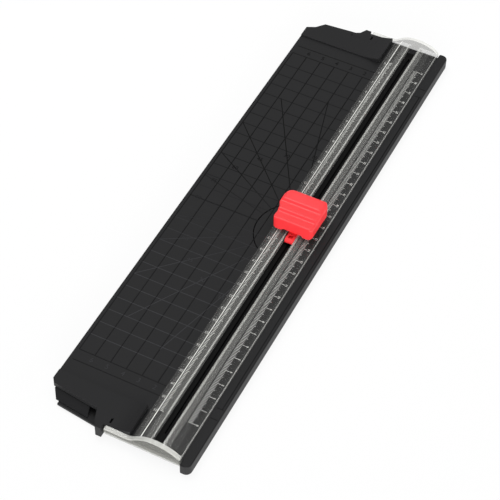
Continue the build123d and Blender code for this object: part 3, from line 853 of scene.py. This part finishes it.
# %% Tree for a fan of rays
def ray_fan_tree():
    tree, sizes = new_tree(
        "ray_fan",
        Count="Int",
        Step="Float",
        Inner="Float",
        Reach="Float",
        Radius="Float",
        Width="Float",
        Height="Float",
        Centre="Vector",
        Material="Material",
    )
    index = add(tree, "GeometryNodeInputIndex").outputs[0]
    half = calculate(tree, "DIVIDE", calculate(tree, "SUBTRACT", sizes["Count"], 1), 2)
    place = calculate(tree, "SUBTRACT", index, half)
    angle = calculate(tree, "MULTIPLY", place, sizes["Step"])
    reach = calculate(tree, "DIVIDE", sizes["Reach"], calculate(tree, "COSINE", angle))
    outer = calculate(tree, "MINIMUM", reach, sizes["Radius"])
    length = calculate(tree, "SUBTRACT", outer, sizes["Inner"])
    heading = calculate(tree, "SUBTRACT", math.pi, angle)
    start = add(
        tree,
        "ShaderNodeVectorRotate",
        {"Vector": combine(tree, X=sizes["Inner"]), "Angle": heading},
        rotation_type="Z_AXIS",
    )
    points = add(tree, "GeometryNodePoints", {"Count": sizes["Count"], "Position": start.outputs[0]})
    rays = add(
        tree,
        "GeometryNodeInstanceOnPoints",
        {
            "Points": points.outputs[0],
            "Instance": unit_bar(tree, 1.0),
            "Rotation": combine(tree, Z=heading),
            "Scale": combine(tree, X=length, Y=sizes["Width"], Z=sizes["Height"]),
        },
    )
    return close_tree(tree, rays.outputs[0], sizes["Centre"], sizes["Material"])


# %% Tree for an arc
def arc_tree():
    tree, sizes = new_tree(
        "arc_line",
        Radius="Float",
        Sweep="Float",
        Width="Float",
        Height="Float",
        Centre="Vector",
        Material="Material",
    )
    arc = add(
        tree,
        "GeometryNodeCurveArc",
        {
            "Resolution": 64,
            "Radius": sizes["Radius"],
            "Start Angle": calculate(tree, "MULTIPLY_ADD", sizes["Sweep"], -0.5, math.pi),
            "Sweep Angle": sizes["Sweep"],
        },
    )
    section = add(
        tree,
        "GeometryNodeCurvePrimitiveQuadrilateral",
        {"Width": sizes["Width"], "Bottom Height": 0.0, "Top Height": sizes["Height"]},
        mode="KITE",
    )
    band = add(
        tree,
        "GeometryNodeCurveToMesh",
        {"Curve": arc.outputs[0], "Profile Curve": section.outputs[0], "Fill Caps": True},
    )
    return close_tree(tree, band.outputs[0], sizes["Centre"], sizes["Material"])


# %% Protractor lines
ray_step = 15
ray_count = 11
arc_radius = mm(24.6)
protractor = Vector((cut_x, zero_y + mm(150), bed_z))
grow(
    ray_fan_tree(),
    "protractor_rays",
    "base",
    "black_plastic",
    Count=ray_count,
    Step=math.radians(ray_step),
    Inner=arc_radius,
    Reach=cut_x - border_x,
    Radius=mm(116),
    Width=line_width,
    Height=line_height,
    Centre=protractor,
    Material=line_turning,
)
grow(
    arc_tree(),
    "protractor_arc",
    "base",
    "black_plastic",
    Radius=arc_radius,
    Sweep=math.radians(116),
    Width=line_width,
    Height=line_height,
    Centre=protractor,
    Material=line_turning,
)

# %% Degree numbers
number_radius = mm(65)
for ray in range(ray_count):
    turns = ray - ray_count // 2
    angle = math.radians(turns * ray_step)
    spot = protractor + number_radius * Vector((-math.cos(angle), math.sin(angle), 0))
    degrees = 90.0 - abs(turns) * ray_step
    moulded_numbers(f"degree_number_{ray}", 1, degrees, 0.0, cell_across, 4.0, spot)

# %% [markdown]
# ## Return springs
#
# Two small wire coils lift the cap after each cut. The coil is a spiral curve with a round section.

# %% Tree for a coil
def coil_tree():
    tree, sizes = new_tree(
        "coil",
        Turns="Float",
        Radius="Float",
        Wire="Float",
        Length="Float",
        Foot="Vector",
        Material="Material",
    )
    spiral = add(
        tree,
        "GeometryNodeCurveSpiral",
        {
            "Resolution": 24,
            "Rotations": sizes["Turns"],
            "Start Radius": sizes["Radius"],
            "End Radius": sizes["Radius"],
            "Height": sizes["Length"],
        },
    )
    section = add(
        tree, "GeometryNodeCurvePrimitiveCircle", {"Resolution": 10, "Radius": sizes["Wire"]}
    )
    wire = add(
        tree,
        "GeometryNodeCurveToMesh",
        {"Curve": spiral.outputs[0], "Profile Curve": section.outputs[0], "Fill Caps": True},
    )
    return close_tree(tree, wire.outputs[0], sizes["Foot"], sizes["Material"])


# %% Left and right coil
coil = coil_tree()
coil_turns = 4.0
wire_radius = mm(0.25)
for side in ("left", "right"):
    low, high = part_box(f"{side}_spring")
    middle = (low + high) / 2
    spring = grow(
        coil,
        f"{side}_return_coil",
        "slider",
        "steel",
        Turns=coil_turns,
        Radius=(high.x - low.x) / 2 - wire_radius,
        Wire=wire_radius,
        Length=high.z - low.z - 2 * wire_radius,
        Foot=Vector((middle.x, middle.y, low.z + wire_radius)),
        Material=zinc_steel,
    )
    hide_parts(f"{side}_spring")
    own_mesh(spring)

# %% [markdown]
# ## Studio
#
# The trimmer lies on a plain white floor. A wide, dim softbox behind serves as the sky that the black
# board mirrors. A smaller one overhead hangs where the crests of the grip mirror it to the camera. Two
# low ones, in front and at the right, light the walls and hardly touch the top. The floor and the sky
# are white to the camera, in reflections and through the clear guide.

# %% Rays that show the background
def seen_directly(tree):
    """1 for rays that show the background itself: camera, mirror and clear-plastic rays."""
    path = add(tree, "ShaderNodeLightPath")
    seen = path.outputs["Is Camera Ray"]
    for ray in ("Is Glossy Ray", "Is Transmission Ray"):
        seen = calculate(tree, "MAXIMUM", seen, path.outputs[ray])
    return seen


# %% Floor
floor_reach = 6
floor_glow = 0.88
corners = [(-1, -1), (1, -1), (1, 1), (-1, 1)]
floor_mesh = bpy.data.meshes.new("floor")
floor_mesh.from_pydata(
    [(floor_reach * x, floor_reach * y, 0) for x, y in corners], [], [(0, 1, 2, 3)]
)
floor = bpy.data.objects.new("floor", floor_mesh)
scene.collection.objects.link(floor)

paper, tree, shader, _ = new_material(
    "white_floor", Base_Color=linear("#f2f2f2"), Roughness=0.9, Specular_IOR_Level=0
)
glow = add(tree, "ShaderNodeEmission", {"Color": (1, 1, 1, 1), "Strength": 1.0})
share = calculate(tree, "MULTIPLY", seen_directly(tree), floor_glow)
blend = add(tree, "ShaderNodeMixShader", {0: share, 1: shader.outputs[0], 2: glow.outputs[0]})
tree.links.new(blend.outputs[0], tree.nodes["Material Output"].inputs["Surface"])
floor_mesh.materials.append(paper)
print(f"floor {2 * floor_reach} m wide")

# %% Sky
sky_light = 0.2
world = bpy.data.worlds.new("studio_sky")
world.use_nodes = True
scene.world = world
sky = world.node_tree.nodes["Background"]
sky.inputs["Color"].default_value = (1, 1, 1, 1)
sky_level = map_range(world.node_tree, seen_directly(world.node_tree), To_Min=sky_light)
world.node_tree.links.new(sky_level, sky.inputs["Strength"])

# %% Lights
def soft_light(name, place, target, size, watts):
    lamp = bpy.data.lights.new(name, "AREA")
    lamp.shape = "RECTANGLE"
    lamp.size, lamp.size_y = size
    lamp.energy = watts
    light = bpy.data.objects.new(name, lamp)
    light.location = place
    light.rotation_euler = (Vector(target) - Vector(place)).to_track_quat("-Z", "Y").to_euler()
    scene.collection.objects.link(light)
    print(f"{name}: {watts} W")
    return light


soft_light("sky_softbox", place=(-0.4, 1.1, 1.6), target=(-0.4, 1.1, 0), size=(3.2, 3.2), watts=24)
soft_light("overhead_softbox", place=(-0.36, 0.18, 1.3), target=(-0.2, 0.1, 0), size=(0.7, 0.5), watts=8)
soft_light("front_softbox", place=(0.9, -2.1, 0.5), target=(0.02, 0, 0.02), size=(2.0, 0.9), watts=52)
soft_light("side_softbox", place=(2.0, 0.3, 0.45), target=(0.05, 0, 0.01), size=(1.6, 0.8), watts=10)

# %% [markdown]
# ## Camera
#
# The view is from the right of the near end, steeply down, with a long lens. The angles were found
# from the scale marks of the guide, which are a known length apart.

# %% Camera
azimuth = math.radians(25.31)
elevation = math.radians(49.33)
roll = math.radians(1.83)
camera_place = mm(285.4, -617.45, 766.1)
back = Vector(
    (
        math.sin(azimuth) * math.cos(elevation),
        -math.cos(azimuth) * math.cos(elevation),
        math.sin(elevation),
    )
)
level = Vector((math.cos(azimuth), math.sin(azimuth), 0))
right = math.cos(roll) * level + math.sin(roll) * back.cross(level)
up = back.cross(right)
lens = bpy.data.cameras.new("camera")
lens.sensor_width = 36
lens.angle = math.radians(16.768)
lens.clip_start, lens.clip_end = 0.05, 50
camera = bpy.data.objects.new("camera", lens)
facing = Matrix((right, up, back)).transposed().to_4x4()
camera.matrix_world = Matrix.Translation(camera_place) @ facing
scene.collection.objects.link(camera)
scene.camera = camera
scene.view_settings.view_transform = "Standard"
print(f"camera {camera_place.length:.2f} m from the origin")
